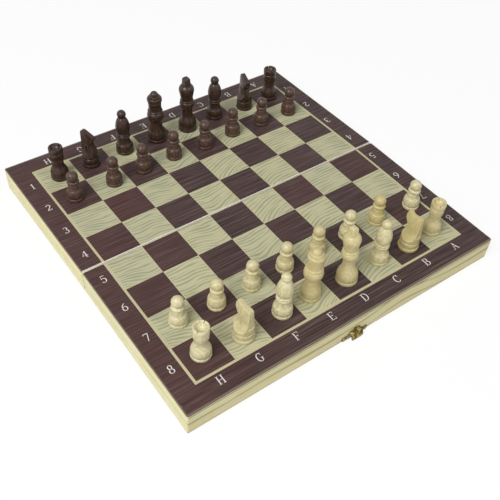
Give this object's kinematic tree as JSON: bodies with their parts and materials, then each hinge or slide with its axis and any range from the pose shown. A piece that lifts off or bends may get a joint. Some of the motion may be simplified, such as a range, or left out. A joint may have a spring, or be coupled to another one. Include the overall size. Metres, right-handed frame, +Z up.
{
  "type": "folding chess box",
  "caption": "Wooden chess box that unfolds into a printed board on two hinged trays, with a loop clasp and turned men",
  "frame": {"origin": "on the table, under the middle of the hinge line, with the board open", "axes": "+Z up out of the playing surface; +X along the fold; -Y towards the half with the light men; each half leans down by about 0.9 degrees from the fold, as the hinge barrels lift it"},
  "size_m": [0.29, 0.2977, 0.0756],
  "materials": {
    "pine": "planed pine, clear matt lacquer",
    "panel_wood": "thin sawn board edge",
    "board_print": "printed film, satin",
    "brass": "brass plated sheet, bright",
    "nail": "dark brass plated nail",
    "light_men": "turned pale wood, satin lacquer",
    "dark_men": "turned wood, dark brown gloss stain"
  },
  "bodies": {
    "front_half": {"front_panel": "panel_wood", "front_board_print": "board_print", "front_outer_rail": "pine", "front_left_rail": "pine", "front_right_rail": "pine", "front_hinge_rail": "pine", "left_hinge_front_leaf": "brass", "left_hinge_pin": "brass", "right_hinge_front_leaf": "brass", "right_hinge_pin": "brass", "hinge_screws_front": "brass", "catch_plate": "brass", "catch_nails": "nail"},
    "rear_half": {"rear_panel": "panel_wood", "rear_board_print": "board_print", "rear_outer_rail": "pine", "rear_left_rail": "pine", "rear_right_rail": "pine", "rear_hinge_rail": "pine", "left_hinge_rear_leaf": "brass", "right_hinge_rear_leaf": "brass", "hinge_screws_rear": "brass", "clasp_plate": "brass", "clasp_pin": "brass", "clasp_nails": "nail"},
    "clasp_loop_body": {"clasp_loop": "brass"},
    "light_rook_h8_body": {"light_rook_h8": "light_men"},
    "light_knight_g8_body": {"light_knight_g8": "light_men"},
    "light_bishop_f8_body": {"light_bishop_f8": "light_men"},
    "light_queen_e8_body": {"light_queen_e8": "light_men"},
    "light_king_d8_body": {"light_king_d8": "light_men"},
    "light_bishop_c8_body": {"light_bishop_c8": "light_men"},
    "light_knight_b8_body": {"light_knight_b8": "light_men"},
    "light_rook_a8_body": {"light_rook_a8": "light_men"},
    "light_pawn_h7_body": {"light_pawn_h7": "light_men"},
    "light_pawn_g7_body": {"light_pawn_g7": "light_men"},
    "light_pawn_f7_body": {"light_pawn_f7": "light_men"},
    "light_pawn_e7_body": {"light_pawn_e7": "light_men"},
    "light_pawn_d7_body": {"light_pawn_d7": "light_men"},
    "light_pawn_c7_body": {"light_pawn_c7": "light_men"},
    "light_pawn_b7_body": {"light_pawn_b7": "light_men"},
    "light_pawn_a7_body": {"light_pawn_a7": "light_men"},
    "dark_pawn_h2_body": {"dark_pawn_h2": "dark_men"},
    "dark_pawn_g2_body": {"dark_pawn_g2": "dark_men"},
    "dark_pawn_f2_body": {"dark_pawn_f2": "dark_men"},
    "dark_pawn_e2_body": {"dark_pawn_e2": "dark_men"},
    "dark_pawn_d2_body": {"dark_pawn_d2": "dark_men"},
    "dark_pawn_c2_body": {"dark_pawn_c2": "dark_men"},
    "dark_pawn_b2_body": {"dark_pawn_b2": "dark_men"},
    "dark_pawn_a2_body": {"dark_pawn_a2": "dark_men"},
    "dark_rook_h1_body": {"dark_rook_h1": "dark_men"},
    "dark_knight_g1_body": {"dark_knight_g1": "dark_men"},
    "dark_bishop_f1_body": {"dark_bishop_f1": "dark_men"},
    "dark_queen_e1_body": {"dark_queen_e1": "dark_men"},
    "dark_king_d1_body": {"dark_king_d1": "dark_men"},
    "dark_bishop_c1_body": {"dark_bishop_c1": "dark_men"},
    "dark_knight_b1_body": {"dark_knight_b1": "dark_men"},
    "dark_rook_a1_body": {"dark_rook_a1": "dark_men"}
  },
  "joints": [
    {"name": "board_fold", "type": "hinge", "parent": "front_half", "child": "rear_half", "pos_m": [0, 0, 0.0019], "axis": [1, 0, 0], "range_deg": [-178.25, 3.8]},
    {"name": "clasp_swing", "type": "hinge", "parent": "rear_half", "child": "clasp_loop_body", "pos_m": [0, 0.14698, 0.00298], "axis": [1, 0, 0], "range_deg": [-183.4, 0]},
    {"name": "lift_light_rook_h8", "type": "slide", "parent": "front_half", "child": "light_rook_h8_body", "axis": [0, 0, 1], "range_m": [0, 0.09]},
    {"name": "lift_light_knight_g8", "type": "slide", "parent": "front_half", "child": "light_knight_g8_body", "axis": [0, 0, 1], "range_m": [0, 0.09]},
    {"name": "lift_light_bishop_f8", "type": "slide", "parent": "front_half", "child": "light_bishop_f8_body", "axis": [0, 0, 1], "range_m": [0, 0.09]},
    {"name": "lift_light_queen_e8", "type": "slide", "parent": "front_half", "child": "light_queen_e8_body", "axis": [0, 0, 1], "range_m": [0, 0.09]},
    {"name": "lift_light_king_d8", "type": "slide", "parent": "front_half", "child": "light_king_d8_body", "axis": [0, 0, 1], "range_m": [0, 0.09]},
    {"name": "lift_light_bishop_c8", "type": "slide", "parent": "front_half", "child": "light_bishop_c8_body", "axis": [0, 0, 1], "range_m": [0, 0.09]},
    {"name": "lift_light_knight_b8", "type": "slide", "parent": "front_half", "child": "light_knight_b8_body", "axis": [0, 0, 1], "range_m": [0, 0.09]},
    {"name": "lift_light_rook_a8", "type": "slide", "parent": "front_half", "child": "light_rook_a8_body", "axis": [0, 0, 1], "range_m": [0, 0.09]},
    {"name": "lift_light_pawn_h7", "type": "slide", "parent": "front_half", "child": "light_pawn_h7_body", "axis": [0, 0, 1], "range_m": [0, 0.09]},
    {"name": "lift_light_pawn_g7", "type": "slide", "parent": "front_half", "child": "light_pawn_g7_body", "axis": [0, 0, 1], "range_m": [0, 0.09]},
    {"name": "lift_light_pawn_f7", "type": "slide", "parent": "front_half", "child": "light_pawn_f7_body", "axis": [0, 0, 1], "range_m": [0, 0.09]},
    {"name": "lift_light_pawn_e7", "type": "slide", "parent": "front_half", "child": "light_pawn_e7_body", "axis": [0, 0, 1], "range_m": [0, 0.09]},
    {"name": "lift_light_pawn_d7", "type": "slide", "parent": "front_half", "child": "light_pawn_d7_body", "axis": [0, 0, 1], "range_m": [0, 0.09]},
    {"name": "lift_light_pawn_c7", "type": "slide", "parent": "front_half", "child": "light_pawn_c7_body", "axis": [0, 0, 1], "range_m": [0, 0.09]},
    {"name": "lift_light_pawn_b7", "type": "slide", "parent": "front_half", "child": "light_pawn_b7_body", "axis": [0, 0, 1], "range_m": [0, 0.09]},
    {"name": "lift_light_pawn_a7", "type": "slide", "parent": "front_half", "child": "light_pawn_a7_body", "axis": [0, 0, 1], "range_m": [0, 0.09]},
    {"name": "lift_dark_pawn_h2", "type": "slide", "parent": "rear_half", "child": "dark_pawn_h2_body", "axis": [0, 0, 1], "range_m": [0, 0.09]},
    {"name": "lift_dark_pawn_g2", "type": "slide", "parent": "rear_half", "child": "dark_pawn_g2_body", "axis": [0, 0, 1], "range_m": [0, 0.09]},
    {"name": "lift_dark_pawn_f2", "type": "slide", "parent": "rear_half", "child": "dark_pawn_f2_body", "axis": [0, 0, 1], "range_m": [0, 0.09]},
    {"name": "lift_dark_pawn_e2", "type": "slide", "parent": "rear_half", "child": "dark_pawn_e2_body", "axis": [0, 0, 1], "range_m": [0, 0.09]},
    {"name": "lift_dark_pawn_d2", "type": "slide", "parent": "rear_half", "child": "dark_pawn_d2_body", "axis": [0, 0, 1], "range_m": [0, 0.09]},
    {"name": "lift_dark_pawn_c2", "type": "slide", "parent": "rear_half", "child": "dark_pawn_c2_body", "axis": [0, 0, 1], "range_m": [0, 0.09]},
    {"name": "lift_dark_pawn_b2", "type": "slide", "parent": "rear_half", "child": "dark_pawn_b2_body", "axis": [0, 0, 1], "range_m": [0, 0.09]},
    {"name": "lift_dark_pawn_a2", "type": "slide", "parent": "rear_half", "child": "dark_pawn_a2_body", "axis": [0, 0, 1], "range_m": [0, 0.09]},
    {"name": "lift_dark_rook_h1", "type": "slide", "parent": "rear_half", "child": "dark_rook_h1_body", "axis": [0, 0, 1], "range_m": [0, 0.09]},
    {"name": "lift_dark_knight_g1", "type": "slide", "parent": "rear_half", "child": "dark_knight_g1_body", "axis": [0, 0, 1], "range_m": [0, 0.09]},
    {"name": "lift_dark_bishop_f1", "type": "slide", "parent": "rear_half", "child": "dark_bishop_f1_body", "axis": [0, 0, 1], "range_m": [0, 0.09]},
    {"name": "lift_dark_queen_e1", "type": "slide", "parent": "rear_half", "child": "dark_queen_e1_body", "axis": [0, 0, 1], "range_m": [0, 0.09]},
    {"name": "lift_dark_king_d1", "type": "slide", "parent": "rear_half", "child": "dark_king_d1_body", "axis": [0, 0, 1], "range_m": [0, 0.09]},
    {"name": "lift_dark_bishop_c1", "type": "slide", "parent": "rear_half", "child": "dark_bishop_c1_body", "axis": [0, 0, 1], "range_m": [0, 0.09]},
    {"name": "lift_dark_knight_b1", "type": "slide", "parent": "rear_half", "child": "dark_knight_b1_body", "axis": [0, 0, 1], "range_m": [0, 0.09]},
    {"name": "lift_dark_rook_a1", "type": "slide", "parent": "rear_half", "child": "dark_rook_a1_body", "axis": [0, 0, 1], "range_m": [0, 0.09]}
  ]
}
